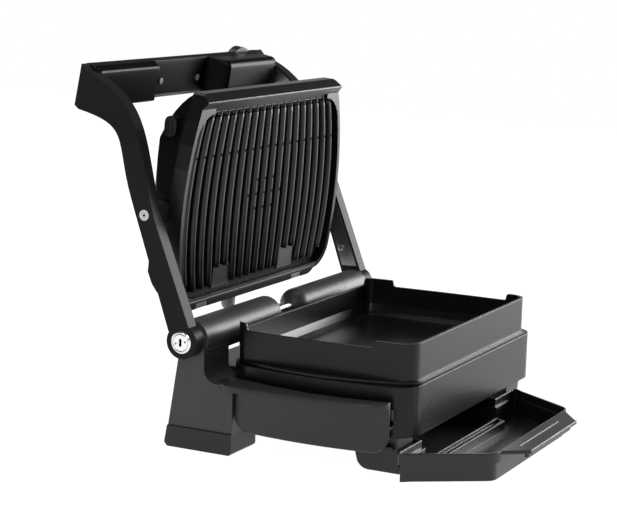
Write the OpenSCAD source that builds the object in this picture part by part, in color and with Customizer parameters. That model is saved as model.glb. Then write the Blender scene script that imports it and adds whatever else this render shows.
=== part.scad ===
// Electric contact grill for the worktop, with a hinged lid frame, a floating
// ridged grill plate, a deep baking tray in the base and a loose drip tray.
// Millimetres. +X is the grill's right, +Y its back, +Z up. Z = 0 is the worktop.
// The model stands with its lid open and its drip tray drawn to the front.

/* [Hinge] */
// Distance of the hinge axis behind the middle of the grill
hinge_y = 81.8; // [78:0.1:86]
// Height of the hinge axis above the worktop
hinge_z = 100.7; // [99:0.1:106]
// Radius of the long left hinge barrel
left_barrel_r = 17; // [16:0.5:18]
// Radius of the right hinge barrel
right_barrel_r = 15; // [14:0.5:16]
// Radius of the steel shaft that joins both arms
shaft_r = 5; // [4:0.5:6]
// Radial clearance of the shaft in its barrels
shaft_play = 0.06; // [0.03:0.01:0.1]
// Inner end of the left barrel, left of the middle
left_barrel_end = 22; // [16:1:30]
// Inner end of the right barrel, right of the middle
right_barrel_end = 20; // [14:1:24]

/* [Lid frame] */
// Half the width across the arms at the hinge
arm_half = 180; // [178:0.5:182]
// Half the width across the ends of the handle
handle_half = 166; // [162:0.5:168]
// Thickness of an arm
arm_t = 13.5; // [12:0.5:14]
// Radius of the eye at the foot of an arm
eye_r = 15.2; // [14:0.1:16]
// Wall of the hollow arm
arm_wall = 2.2; // [1.8:0.1:2.6]
// Thickness of the bright cover inside an arm
arm_cover_t = 2; // [1.5:0.1:2.5]
// Radius of the round hinge cap
cap_r = 10; // [8:0.5:11]
// Height of the control face of the handle
panel_h = 37.6; // [35:0.1:39]
// Lean of the control face when the lid is open
panel_lean = 9.3; // [6:0.1:12]
// Wall of the handle
handle_wall = 2.4; // [2:0.1:3]
// Half the length of the finger recess under the handle
recess_half = 50; // [40:1:60]
// Radius of the round indicator at the right of the handle
drum_r = 22.8; // [22:0.1:26]
// Middle of the round indicator, right of the middle
drum_x = 124; // [118:1:125]

/* [Grill plate] */
// Number of ridges on each side of the middle ridge
ridge_pairs = 9; // [7:1:9]
// Pitch of the ridges where the plate is widest
ridge_pitch = 15.5; // [15:0.1:15.6]
// Height of a ridge above the valley
ridge_h = 5; // [4:0.1:6]
// Width of a ridge at its root
ridge_w = 6.4; // [5:0.1:7]
// Half the width of the plate where it is widest
plate_half = 155; // [152:0.5:155.5]
// Radius of the bow of the plate's sides
plate_bow_r = 250; // [240:5:300]
// Length of the plate in front of its pivots
plate_front = 107; // [104:0.5:108]
// Length of the plate behind its pivots
plate_rear = 86; // [84:0.5:87]
// Lean of the plate when the lid is open
plate_lean = 4.87; // [3:0.01:7]
// Thickness of the cast plate between the ridges
plate_t = 3.5; // [3:0.1:4]
// Height of the rim of the plate above its ridges
rim_h = 2.5; // [2:0.1:3]
// Height of the front lip of the plate above its ridges
lip_h = 7; // [6:0.1:7.2]
// Depth of the upper housing behind the ridges
housing_depth = 42; // [38:0.5:44]
// Wall of the upper housing
housing_wall = 2.6; // [2:0.1:3]
// Distance of the pivots behind the tips of the ridges
pivot_back = 21.1; // [20:0.1:23]
// Radius of the pivot pins of the plate
pivot_r = 4; // [3:0.1:4.5]

/* [Baking tray] */
// Length of the baking tray from front to back
tray_len = 173.3; // [170:0.1:174]
// Half the width of the baking tray at its corners
tray_half = 135.1; // [133:0.1:136]
// Radius of the front corners of the baking tray
tray_corner_r = 14; // [10:0.5:15]
// Bulge of the long walls of the baking tray
tray_bulge = 2.9; // [1:0.1:3.2]
// Height of the top of the baking tray above the worktop
tray_top = 114.6; // [112:0.1:115]
// Depth of the steam notches in the tray's rim
notch_depth = 6.4; // [4:0.1:8]
// Wall of the baking tray
tray_wall = 2.4; // [2:0.1:3]
// Bulge of the flange beyond the corners of the baking tray
flange_bulge = 17; // [14:0.5:18]
// Gap between the rear wall of the baking tray and the hinge axis
tray_gap = 29.4; // [29:0.1:33]

/* [Base] */
// Half the width of the base housing where it is widest
body_half = 154; // [153:0.5:156]
// Bow radius of the base housing's sides
body_bow_r = 460; // [420:10:520]
// Height of the top edge of the base housing
body_top = 79.2; // [76:0.1:80]
// Height of the lower edge of the base housing
body_bottom = 35.3; // [34:0.1:38]
// Overhang of the base housing in front of the baking tray
body_front_lip = 4.6; // [3.5:0.1:6]
// Corner radius at the front of the base housing
body_corner_r = 21; // [18:1:24]
// Wall of the base housing
body_wall = 3; // [2.4:0.1:3.5]
// Gap between a tower and the arm beside it
arm_gap = 0.5; // [0.3:0.1:1]
// Width of a tower
tower_w = 44; // [40:1:46]
// Height of the block under a tower
block_h = 20.5; // [16:0.5:24]
// Half the width across the tips of the side handles
grip_half = 182.5; // [180:0.5:184]
// Thickness of the shelf of a side handle
grip_t = 5.5; // [4.5:0.1:6.5]
// Height of the lip of a side handle at its middle
grip_top = 67.8; // [66:0.2:69]
// Rise of the lip of a side handle towards its front end
grip_rise = 10; // [8:0.5:12]
// Distance from the front of the baking tray back to the front end of the lip
grip_start = 20; // [12:0.5:24]
// Height of the lower edge of a side handle
grip_bottom = 25; // [24:0.5:30]
// Overhang of the shelf beyond the skirt of a side handle
grip_overhang = 19; // [15:0.5:22]

/* [Drip tray] */
// Sideways place of the loose drip tray
drip_shift = -19.5; // [-20:0.5:0]
// Half the width of the drip tray where it is widest
drip_half = 138; // [130:0.5:140]
// Half the width of the drip tray at its front rim
drip_front_half = 92; // [84:0.5:96]
// Half the width of the drip tray's rear part, between the front feet
drip_rear_half = 89; // [80:0.5:90]
// Gap between the wings of the drip tray and the front feet
drip_gap = 4; // [3.5:0.5:8]
// Length of the drip tray from its widest part to its front rim
drip_reach = 70.5; // [64:0.5:74]
// Length of the drip tray from its widest part to its rear wall
drip_back = 58; // [50:1:80]
// Height of the drip tray
drip_h = 25; // [22:0.5:26]
// Wall of the drip tray
drip_wall = 2.2; // [1.8:0.1:2.6]
// Length of the drip tray's grip in front of its rim
drip_grip = 21.1; // [14:0.1:24]

/* [Hidden] */
$fn = 48;
// Overlap that keeps cuts clean
eps = 0.05;
// Gap at a seat between two pieces that part from each other
seat_gap = 0.3;
// Gap between two pieces that stay together
fit_gap = 0.05;

// Levels and lines that follow from the sizes above
tray_y1 = hinge_y - tray_gap;
tray_y0 = tray_y1 - tray_len;
tray_mid = (tray_y0 + tray_y1) / 2;
flange_z = body_top + seat_gap;
flange_t = 2.5;
tray_floor_t = 2.5;
tray_floor = flange_z - 0.5;
tray_bow_r = (tray_len / 2) * (tray_len / 2) / (2 * tray_bulge);
flange_bow_r = (tray_len / 2) * (tray_len / 2) / (2 * flange_bulge);
body_y0 = tray_y0 - body_front_lip;
body_y1 = tray_y1 + 4;
arm_in = arm_half - arm_t;
tower_half = arm_in - arm_gap;
tower_in = tower_half - tower_w;
tower_y0 = hinge_y - 44.3;
tower_y1 = hinge_y + 23.8;
skirt_x = grip_half - grip_overhang;
foot_x0 = 112;
foot_x1 = 138;
foot_y0 = body_y0 + 13;
foot_y1 = foot_y0 + 40;
cover_z = body_bottom;
drip_wide_y = drip_gap + 3.5 - foot_y0;
drip_front_y = drip_wide_y + drip_reach;
drip_rear_y = drip_wide_y - drip_back;
pad_h = 3;
pad_proud = 1.2;
// Radius of the heater tubes
tube_r = 3.3;

// Pivots of the plate and place of the handle, carried by the arms
pivot_y = hinge_y + 40.1;
pivot_z = hinge_z + 108.8;
handle_y = hinge_y + 115.8;
lid_h = 236.4;
handle_z = hinge_z + lid_h;

// Points on a cubic curve
function curve(a, b, c, d, n) =
  [for (i = [0:n]) let(t = i / n, s = 1 - t)
    a * s * s * s + b * 3 * s * s * t + c * 3 * s * t * t + d * t * t * t];
function back_to_front(p) = [for (i = [len(p) - 1:-1:0]) p[i]];
function unit(v) = v / norm(v);
// A path moved sideways by d, to the left of its own direction
function beside(p, d) =
  [for (i = [0:len(p) - 1])
    let(a = p[max(i - 1, 0)], b = p[min(i + 1, len(p) - 1)], t = unit(b - a))
    p[i] + d * [-t[1], t[0]]];
// How far a round corner of radius r cuts in, at distance d from its end
function corner_cut(d, r) = d < r ? r - sqrt(max(0, r * r - (r - d) * (r - d))) : 0;
// Outline that is symmetric about x = 0, with bowed sides and round corners
function bowed(half, bow_r, mid, y0, y1, r0, r1) =
  let(ys = concat([for (a = [0:15:90]) y0 + r0 * (1 - cos(a))],
        [for (k = [1:7]) y0 + r0 + k * (y1 - r1 - y0 - r0) / 8],
        [for (a = [90:-15:0]) y1 - r1 * (1 - cos(a))]),
      xs = [for (y = ys) half - (y - mid) * (y - mid) / (2 * bow_r)
        - corner_cut(y - y0, r0) - corner_cut(y1 - y, r1)])
  concat([for (i = [0:len(ys) - 1]) [xs[i], ys[i]]],
    [for (i = [len(ys) - 1:-1:0]) [-xs[i], ys[i]]]);
function tray_outline(grow) =
  bowed(tray_half + tray_bulge + grow, tray_bow_r, tray_mid, tray_y0 - grow,
    tray_y1 + grow, max(tray_corner_r + grow, 1), max(9 + grow, 1));
function flange_outline() =
  bowed(tray_half + flange_bulge, flange_bow_r, tray_mid, tray_y0 - 2.5,
    tray_y1 + 1.5, 14, 12);
function body_outline(grow) =
  bowed(body_half + grow, body_bow_r, tray_mid - 10, body_y0 - grow, body_y1 + grow,
    body_corner_r + grow, body_corner_r + 1 + grow);
function plate_outline(grow, rear) =
  bowed(plate_half + grow, plate_bow_r, -5.4, -rear - grow, plate_front + grow,
    22 + grow, max(3 + grow, 0.6));

// A prism along z, x or y from an outline in the other two axes
module prism_z(p, z0, z1) translate([0, 0, z0]) linear_extrude(height = z1 - z0) polygon(p);
module prism_x(p, x0, x1)
  translate([x0, 0, 0]) rotate([90, 0, 90]) linear_extrude(height = x1 - x0) polygon(p);
module prism_y(p, y0, y1)
  translate([0, y1, 0]) rotate([90, 0, 0]) linear_extrude(height = y1 - y0) polygon(p);
// A box between two corners
module box(a, b) translate(a) cube(b - a);
// A cylinder along x between two ends
module rod_x(r, x0, x1) translate([x0, 0, 0]) rotate([0, 90, 0]) cylinder(r = r, h = x1 - x0);
module rod_y(r, y0, y1) translate([0, y1, 0]) rotate([90, 0, 0]) cylinder(r = r, h = y1 - y0);
module both_sides() {
  children();
  mirror([1, 0, 0]) children();
}
module left_side() mirror([1, 0, 0]) children();
module at_hinge() translate([0, hinge_y, hinge_z]) children();
// Frame of the plate: z runs to its front lip, y to its housing
module on_plate()
  translate([0, pivot_y, pivot_z]) rotate([plate_lean, 0, 0])
    translate([0, -pivot_back, 0]) children();
// Frame of the handle: z runs up its control face, y out of it
module on_handle()
  translate([0, handle_y, handle_z]) rotate([panel_lean, 0, 0]) children();
// Outline in x and z turned into a prism along y in the plate's frame
module slab(p, y0, y1) translate([0, y1, 0]) rotate([90, 0, 0]) linear_extrude(height = y1 - y0)
  polygon(p);

// Base

module base_housing() {
  beam_y1 = hinge_y + 18;
  beam_top = hinge_z - left_barrel_r - 13;
  color("#202124") difference() {
    union() {
      prism_z(body_outline(0), body_bottom, body_top);
      box([-tower_in, body_y1 - 12, block_h + 3], [tower_in, beam_y1, beam_top]);
    }
    prism_z(body_outline(-body_wall), body_bottom - eps, body_top - 4);
    prism_z(tray_outline(1), body_top - 5, body_top + eps);
    box([-tower_in + body_wall, body_y1 - 20, block_h], [tower_in - body_wall,
      beam_y1 - body_wall, beam_top - body_wall]);
    translate([0, 0, cord_z]) translate([cord_x, 0, 0]) rod_y(cord_hole_r, beam_y1 - 6, beam_y1 + 1);
    release_hole();
  }
}
cord_x = 60;
cord_z = 42;
cord_hole_r = 6;

// Bore in the front left corner for the button that frees the baking tray
module release_hole()
  box([-body_half, release_y - 4.4, release_z - 4.9],
    [-body_half + 26, release_y + 4.4, release_z + 4.9]);
release_y = body_y0 + 19;
release_z = 56;

module lower_release_button() {
  face = body_half - 1;
  color("#3a3b3d") difference() {
    union() {
      box([-face, release_y - 4, release_z - 4.5], [-face + 13, release_y + 4, release_z + 4.5]);
      box([-face + 13, release_y - 3, release_z - 3], [-face + 16, release_y + 3, release_z + 3]);
    }
    translate([-face, release_y, release_z - 6]) cylinder(r = 1.5, h = 12);
  }
}

module bottom_cover() {
  color("#1b1c1e") difference() {
    union() {
      prism_z(body_outline(-body_wall - fit_gap), cover_z, cover_z + 3);
      difference() {
        prism_z(body_outline(-body_wall - fit_gap), cover_z, cover_z + 8);
        prism_z(body_outline(-body_wall - 2.6), cover_z + 1, cover_z + 9);
      }
      for (x = [-90, 90], y = [tray_y0 + 40, tray_y1 - 40])
        translate([x, y, cover_z + 2]) cylinder(r = 5, h = reflector_z - cover_z - 2);
    }
    both_sides() box([tower_in - fit_gap, tower_y0 - fit_gap, 0], [tower_half, tower_y1, body_top]);
    box([-tower_in, body_y1 - 14, 0], [tower_in, tower_y1, body_top]);
    for (x = [-90, 90], y = [tray_y0 + 40, tray_y1 - 40])
      translate([x, y, cover_z - 1]) cylinder(r = 1.6, h = 14);
  }
}

// Side outline of a tower, from its front foot round to its back
step_z = grip_top - 3.8;
function tower_side() = concat(
  [[tower_y0, block_h], [tower_y0, step_z - 6.5], [tower_y0 + 3, step_z - 1.5],
    [tower_y0 + 6, step_z]],
  [[hinge_y - 27, step_z]],
  [for (a = [15:15:75]) [hinge_y - 27 + 12 * sin(a), step_z + 12 * (1 - cos(a))]],
  [[hinge_y - 15, step_z + 13], [hinge_y - 15, hinge_z], [hinge_y + 9.2, hinge_z],
    [hinge_y + 11.6, hinge_z - 19], [hinge_y + 21, block_h]]);

module tower_solid() {
  difference() {
    union() {
      prism_x(tower_side(), tower_in, tower_half);
      at_hinge() rod_x(15, tower_in, tower_half);
    }
    prism_z(body_outline(fit_gap), body_bottom - fit_gap, body_top + 1);
    box([tower_in + body_wall, tower_y0 + 6, block_h - 1],
      [tower_half - body_wall, tower_y1 - 8, 60]);
  }
}

module right_tower()
  color("#2a2b2d") difference() {
    tower_solid();
    at_hinge() rod_x(right_barrel_r + fit_gap, tower_in - 1, tower_half - 3);
    at_hinge() rod_x(shaft_r + shaft_play, tower_in - 1, tower_half + 1);
  }

module left_tower()
  color("#2a2b2d") left_side() difference() {
    tower_solid();
    at_hinge() rod_x(left_barrel_r + fit_gap, tower_in - 1, tower_half - 3);
    at_hinge() rod_x(shaft_r + shaft_play, tower_in - 1, tower_half + 1);
  }

// Side outline of the block that a tower stands on
function block_side() = [[tower_y0, block_h], [tower_y0, pad_proud + 2],
  [tower_y0 + 2, pad_proud], [tower_y1 - 3, pad_proud], [tower_y1, pad_proud + 3],
  [tower_y1, 6], [hinge_y + 21.2, block_h]];

module tower_block()
  color("#1b1c1e") difference() {
    prism_x(block_side(), tower_in - 0.2, tower_half + 1.6);
    translate([(tower_in + tower_half) / 2, hinge_y - 30, 0]) cylinder(r = 8 + fit_gap, h = pad_h);
    translate([(tower_in + tower_half) / 2, hinge_y + 9, 0]) cylinder(r = 8 + fit_gap, h = pad_h);
  }
module right_tower_block() tower_block();
module left_tower_block() left_side() tower_block();

// Front foot: a block with a round lower rear edge, under the bottom cover
function foot_side() = concat([[foot_y0, cover_z], [foot_y0, pad_proud]],
  [for (a = [0:18:90]) [foot_y1 - 10 + 10 * sin(a), pad_proud + 10 - 10 * cos(a)]],
  [[foot_y1 + 3, cover_z]]);
module front_foot()
  color("#2a2b2d") difference() {
    union() {
      intersection() {
        prism_x(foot_side(), foot_x0, foot_x1 + 12);
        prism_y([[foot_x0, -1], [foot_x1, -1], [foot_x1 + 9, cover_z + 1], [foot_x0, cover_z + 1]],
          foot_y0 - 1, foot_y1 + 20);
      }
      // Ledge round the outer side
      prism_z([[foot_x0 + 4, foot_y0 + 2], [foot_x1 + 7, foot_y0 + 2], [foot_x1 + 10, foot_y0 + 3.5],
        [foot_x1 + 11.5, foot_y0 + 7], [foot_x1 + 11.5, foot_y1 - 12], [foot_x0 + 4, foot_y1 - 12]],
        drip_h - 0.5, drip_h + 2);
    }
    translate([foot_x0 + 13, foot_y0 + 14, 0]) cylinder(r = 8 + fit_gap, h = pad_h);
  }
module right_front_foot() front_foot();
module left_front_foot() left_side() front_foot();

module rubber_feet()
  color("#101010") both_sides() {
    translate([foot_x0 + 13, foot_y0 + 14, 0]) cylinder(r = 8, h = pad_h - fit_gap);
    translate([(tower_in + tower_half) / 2, hinge_y - 30, 0]) cylinder(r = 8, h = pad_h - fit_gap);
    translate([(tower_in + tower_half) / 2, hinge_y + 9, 0]) cylinder(r = 8, h = pad_h - fit_gap);
  }

// Side handle: a shelf to lift by, with a skirt that hangs below it
grip_y0 = tray_y0 + grip_start;
grip_y1 = tray_y1 - 9.6;
grip_mid = (grip_y0 + grip_y1) / 2;
grip_bow = 3.5;
skirt_y0 = grip_y0 + 13.5;
skirt_y1 = tower_y0 - 0.5;
// Level of the floor of the channel between the skirt and the body
channel_z = 47;
function lip_z(y) = grip_top + grip_rise * pow(max(0, (grip_y0 + 58 - y) / 58), 2)
  + 2.4 * pow(max(0, (y - grip_y1 + 46) / 46), 2);
function grip_outline(front, inset) =
  let(y0 = front + inset, y1 = grip_y1 - inset,
      ys = concat([for (a = [0:18:90]) y0 + 5 * (1 - cos(a))],
        [for (k = [1:9]) y0 + 5 + k * (y1 - y0 - 11) / 10],
        [for (a = [90:-18:0]) y1 - 6 * (1 - cos(a))]))
  concat([[body_half - 24, y0]],
    [for (y = ys) [grip_half - inset - grip_bow * pow((y - grip_mid) / 81, 2)
      - corner_cut(y - y0, 5) - corner_cut(y1 - y, 6), y]],
    [[body_half - 24, y1]]);
// The lip curves up towards its front end and slopes a little outwards
module lip_slab() {
  ys = [for (k = [0:18]) grip_y0 - 1 + k * (grip_y1 - grip_y0 + 2) / 18];
  translate([grip_half, 0, grip_top]) rotate([0, 5, 0]) translate([-grip_half, 0, -grip_top])
    prism_x(concat([for (y = ys) [y, lip_z(y)]],
      [for (k = [18:-1:0]) [ys[k], lip_z(ys[k]) - grip_t]]), skirt_x - 12, grip_half + 6);
}
// Outline of the skirt seen from the side: its top follows the lip
function skirt_side() = concat(
  [for (k = [0:12]) let(y = skirt_y0 + k * (skirt_y1 - skirt_y0) / 12) [y, lip_z(y) - 2]],
  [for (a = [0:15:90]) [skirt_y1 - 14 * (1 - cos(a)), grip_bottom + 14 * (1 - sin(a))]],
  [for (a = [90:-15:0]) [skirt_y0 + 14 * (1 - cos(a)), grip_bottom + 14 * (1 - sin(a))]]);
function skirt_outline(front, inset) =
  [for (p = grip_outline(front, 0)) [p[0] - grip_overhang - inset, p[1]]];
module side_handle()
  color("#26272a") difference() {
    union() {
      intersection() {
        prism_z(grip_outline(grip_y0, 0), grip_top - 12, grip_top + grip_rise + 12);
        lip_slab();
      }
      intersection() {
        prism_z(skirt_outline(skirt_y0, 0), grip_bottom, grip_top + grip_rise + 12);
        prism_x(skirt_side(), body_half - 34, grip_half + 10);
      }
    }
    // Hollow below the floor of the channel, and the channel above it
    intersection() {
      prism_z(skirt_outline(skirt_y0, 3), grip_bottom - 1, channel_z - 3);
      box([body_half - 40, skirt_y0 + 3, 0], [grip_half, skirt_y1 - 3, channel_z]);
    }
    prism_z(skirt_outline(grip_y0 - 8, 3), channel_z, grip_top + grip_rise + 20);
    prism_z(body_outline(fit_gap), body_bottom - fit_gap, body_top + 1);
    box([0, grip_y0 - 20, 0], [foot_x1 + 12, grip_y1 + 20, body_bottom]);
  }
module right_side_handle() side_handle();
module left_side_handle() left_side() side_handle();

// Hinge barrels on the towers: a turned profile of radius over length, along x
module turned_x(p) rotate([0, 90, 0]) rotate_extrude($fn = 96) polygon(p);
module left_hinge_barrel()
  color("#2c2d30") at_hinge() difference() {
    translate([-left_barrel_end, 0, 0]) mirror([1, 0, 0]) turned_x(concat([[0, 0]],
      curve([left_barrel_r - 4.5, 0], [left_barrel_r - 1.5, 0.2], [left_barrel_r - 0.2, 1.2],
        [left_barrel_r, 4], 6),
      [[left_barrel_r, tower_half - 3 - fit_gap - left_barrel_end],
      [0, tower_half - 3 - fit_gap - left_barrel_end]]));
    rod_x(shaft_r + shaft_play, -arm_half, 0);
  }
module right_hinge_barrel()
  color("#2c2d30") at_hinge() difference() {
    translate([right_barrel_end, 0, 0]) turned_x(concat([[0, 0]],
      [for (a = [10:10:90]) right_barrel_r * [sin(a), 1 - cos(a)]],
      [[right_barrel_r, tower_in - 4 - right_barrel_end], [0, tower_in - 4 - right_barrel_end]]));
    rod_x(shaft_r + shaft_play, 0, arm_half);
  }
module right_barrel_sleeve()
  color("#2c2d30") at_hinge() difference() {
    rod_x(right_barrel_r, tower_in - 3.6, tower_half - 3 - fit_gap);
    rod_x(shaft_r + shaft_play, 0, arm_half);
  }
module hinge_shaft()
  color("#c9cbcd") at_hinge() rod_x(shaft_r, -arm_half + 2.2, arm_half - 2.2);

module cord_gland()
  color("#151515") translate([cord_x, 0, cord_z]) difference() {
    union() {
      rod_y(cord_hole_r - fit_gap, hinge_y + 12, hinge_y + 18 + eps);
      rod_y(cord_hole_r + 3, hinge_y + 18 + fit_gap, hinge_y + 22);
    }
    rod_y(3.6, hinge_y + 5, hinge_y + 30);
  }

// Heat under the tray
reflector_z = 60;
module lower_reflector() {
  color("#b9bbbd") difference() {
    prism_z(tray_outline(-10), reflector_z, reflector_z + 10);
    prism_z(tray_outline(-11.2), reflector_z + 1.2, reflector_z + 11);
    for (x = [-90, 90], y = [tray_y0 + 40, tray_y1 - 40])
      translate([x, y, reflector_z - 1]) cylinder(r = 2, h = 4);
  }
}
// Bent heater tube: two long legs, joined at one end by a half circle
module heater_tube(r, leg, half, bend) {
  both_sides() translate([half, 0, 0]) rod_y(r, -leg / 2, leg / 2);
  translate([0, leg / 2, 0]) rotate_extrude(angle = 180, $fn = 48)
    translate([half, 0]) circle(r = r, $fn = 24);
  both_sides() translate([half, -leg / 2, 0]) sphere(r = r, $fn = 24);
}
// The lower heater tube lies just under the tray's floor, on clips on the reflector
lower_tube_z = tray_floor - tray_floor_t - 0.4 - tube_r;
module lower_heater()
  color("#6f6a66") translate([0, tray_mid - 26, lower_tube_z]) {
    heater_tube(tube_r, 78, 58, 0);
    both_sides() box([54, -3, reflector_z + 1.2 + fit_gap - lower_tube_z], [62, 3, -1]);
  }
module lower_thermostat()
  color("#8a8d90") translate([0, tray_mid - 20, reflector_z + 1.2]) {
    cylinder(r = 9, h = 5);
    translate([0, 0, 5]) cylinder(r = 4, h = tray_floor - tray_floor_t - reflector_z - 1.2 - 5 - 0.4);
  }
module terminal_block()
  color("#e6e3da") difference() {
    box([70, tray_y1 - 70, cover_z + 3], [110, tray_y1 - 50, cover_z + 17]);
    for (k = [0:3]) translate([76 + 9.3 * k, tray_y1 - 60, cover_z + 10]) cylinder(r = 2.5, h = 9);
  }
module base_screws()
  color("#9a9c9e") for (x = [-90, 90], y = [tray_y0 + 40, tray_y1 - 40])
    translate([x, y, cover_z - 1]) {
      cylinder(r = 3.2, h = 1);
      cylinder(r = 1.5, h = 12);
    }

// Trays

// Side outline of a notch in the rim, with rounded shoulders
function notch_side(ya, yb) = concat([[ya - 4, tray_top + 5], [ya - 4, tray_top]],
  curve([ya - 2.5, tray_top], [ya - 0.6, tray_top], [ya, tray_top - 0.6],
    [ya + 0.3, tray_top - 2.6], 4),
  curve([ya + 0.5, tray_top - notch_depth + 2.6], [ya + 0.7, tray_top - notch_depth + 0.6],
    [ya + 1.4, tray_top - notch_depth], [ya + 3.5, tray_top - notch_depth], 4),
  curve([yb - 3.5, tray_top - notch_depth], [yb - 1.4, tray_top - notch_depth],
    [yb - 0.7, tray_top - notch_depth + 0.6], [yb - 0.5, tray_top - notch_depth + 2.6], 4),
  curve([yb - 0.3, tray_top - 2.6], [yb, tray_top - 0.6], [yb + 0.6, tray_top],
    [yb + 2.5, tray_top], 4),
  [[yb + 4, tray_top], [yb + 4, tray_top + 5]]);
module baking_tray() {
  color("#232426") difference() {
    union() {
      prism_z(tray_outline(0), tray_floor - tray_floor_t, tray_top);
      prism_z(flange_outline(), flange_z, flange_z + flange_t);
    }
    hull() {
      prism_z(tray_outline(-tray_wall - 9), tray_floor, tray_floor + 1);
      prism_z(tray_outline(-tray_wall - 3), tray_floor + 3, tray_floor + 4);
      prism_z(tray_outline(-tray_wall), tray_floor + 10, tray_top + 5);
    }
    prism_x(notch_side(tray_y0 + 37, tray_y1 - 11), -tray_half - 10, -tray_half + 30);
    prism_x(notch_side(tray_y0 + 21, tray_y1 - 30), tray_half - 30, tray_half + 10);
    prism_y(notch_side(-tray_half + 7, tray_half - 6), tray_y1 - 20, tray_y1 + 5);
  }
}

// Drip tray outline in its own frame, widest in front of the front feet
function drip_outline(inset) = let(r = 12 - 2 * inset,
    p = [drip_front_half - inset, -drip_front_y + inset],
    s = [drip_half - 5 - inset, -drip_wide_y - 7] - p, d = s / norm(s),
    corner = curve(p - [r, 0], p - [r / 3, 0], p + d * r / 3, p + d * r, 6)) concat(corner, [
  [drip_half - 5 - inset, -drip_wide_y - 7], [drip_half - 1.2 - inset, -drip_wide_y - 3.2],
  [drip_half - inset, -drip_wide_y - 0.4], [drip_half - 2 - inset, -drip_wide_y + 2 - inset * 0.6],
  [drip_half - 6 - inset, -drip_wide_y + 3 - inset * 0.8],
  [drip_rear_half - inset, -drip_wide_y + 3.5 - inset],
  [drip_rear_half - inset, -drip_rear_y - inset],
  [-drip_rear_half + inset, -drip_rear_y - inset],
  [-drip_rear_half + inset, -drip_wide_y + 3.5 - inset],
  [-drip_half + 6 + inset, -drip_wide_y + 3 - inset * 0.8],
  [-drip_half + 2 + inset, -drip_wide_y + 2 - inset * 0.6], [-drip_half + inset, -drip_wide_y - 0.4],
  [-drip_half + 1.2 + inset, -drip_wide_y - 3.2], [-drip_half + 5 + inset, -drip_wide_y - 7]],
  [for (k = [len(corner) - 1:-1:0]) [-corner[k][0], corner[k][1]]]);
module drip_tray() {
  step = 15.5;
  grip_z = drip_h - 3;
  color("#232426") translate([drip_shift, 0, 0]) {
    difference() {
      union() {
        prism_z(drip_outline(2.6), 0, step + eps);
        prism_z(drip_outline(0), step, drip_h);
      }
      prism_z(drip_outline(2.6 + drip_wall), drip_wall, step + drip_wall + 1);
      prism_z(drip_outline(drip_wall), step + drip_wall, drip_h + 1);
    }
    // Dam across the floor
    difference() {
      prism_z(dam_outline(0), drip_wall - eps, 11.5);
      prism_z(dam_outline(3), 8, 12);
    }
    for (x = [-5, 104]) translate([x, -drip_wide_y - 11, drip_wall - eps]) cylinder(r = 3, h = 1.2);
    // Grip in front of the rim
    difference() {
      prism_z([[-drip_front_half + 10, -drip_front_y + 0.6],
        [drip_front_half - 10, -drip_front_y + 0.6],
        [grip_x1 + 2, -drip_front_y - drip_grip + 3.5], [grip_x1 - 1, -drip_front_y - drip_grip],
        [grip_x0 + 1, -drip_front_y - drip_grip], [grip_x0 - 2, -drip_front_y - drip_grip + 3.5]],
        grip_z, grip_z + 3);
      box([grip_x0 + 10, -drip_front_y - 8.6, grip_z + 2.2],
        [grip_x1 - 10, -drip_front_y - 7.4, grip_z + 4]);
    }
    prism_z([[grip_x0 + 4, -drip_front_y - drip_grip + 7], [grip_x1 - 4, -drip_front_y - drip_grip + 7],
      [grip_x1 - 6, -drip_front_y - drip_grip + 4], [grip_x0 + 6, -drip_front_y - drip_grip + 4]],
      grip_z - 5, grip_z + eps);
  }
}
grip_x0 = -66;
grip_x1 = 54;
function dam_outline(d) = [[-drip_front_half + 12 + d, -drip_wide_y - 5 - d],
  [drip_front_half - 20 - d, -drip_wide_y - 5 - d], [drip_front_half - 26 - d, -drip_wide_y - 17 + d],
  [-drip_front_half + 18 + d, -drip_wide_y - 17 + d]];

// Lid frame

// Edges of an arm seen from the side, measured from the hinge axis
arm_front_base = [-7.6, 12];
arm_rear_base = [13.4, 8];
function arm_front(z) = concat([[arm_front_base[0] + (z - 12) * 0.396, z]],
  curve([29.5, 105.7], [46.9, 163.8], [51.3, 209.5], [110.9, 230.2], 16));
function arm_rear(z) = concat([[arm_rear_base[0] + (z - 8) * 0.3525, z]],
  curve([53.3, 121.2], [73.6, 176], [61.6, 184.7], [116.7, 196.3], 16));
function arm_side() = concat(arm_front(12), [[115, lid_h - 1.6], [115.8, lid_h]],
  [[115.8 + panel_h * sin(panel_lean) - 0.6, lid_h - panel_h * cos(panel_lean) + 0.4]],
  back_to_front(arm_rear(8)));
function arm_pocket(inset) = concat(beside(arm_front(19), -inset),
  back_to_front(beside(arm_rear(17), inset)));
// Lie of the arm seen from the front: straight up, then drawn in to the handle
function arm_band(a) = concat([[arm_half - a, hinge_z - 30], [arm_half - a, hinge_z + 114]],
  curve([arm_half - a, hinge_z + 114], [arm_half - a, hinge_z + 157],
    [handle_half + 3.7 - a, hinge_z + 188], [handle_half + 2.7 - a, hinge_z + 204], 12),
  [[handle_half - a, hinge_z + 240]]);
module arm_layer(a, b)
  prism_y(concat(arm_band(a), back_to_front(arm_band(b))), hinge_y - 60, hinge_y + 160);

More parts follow.
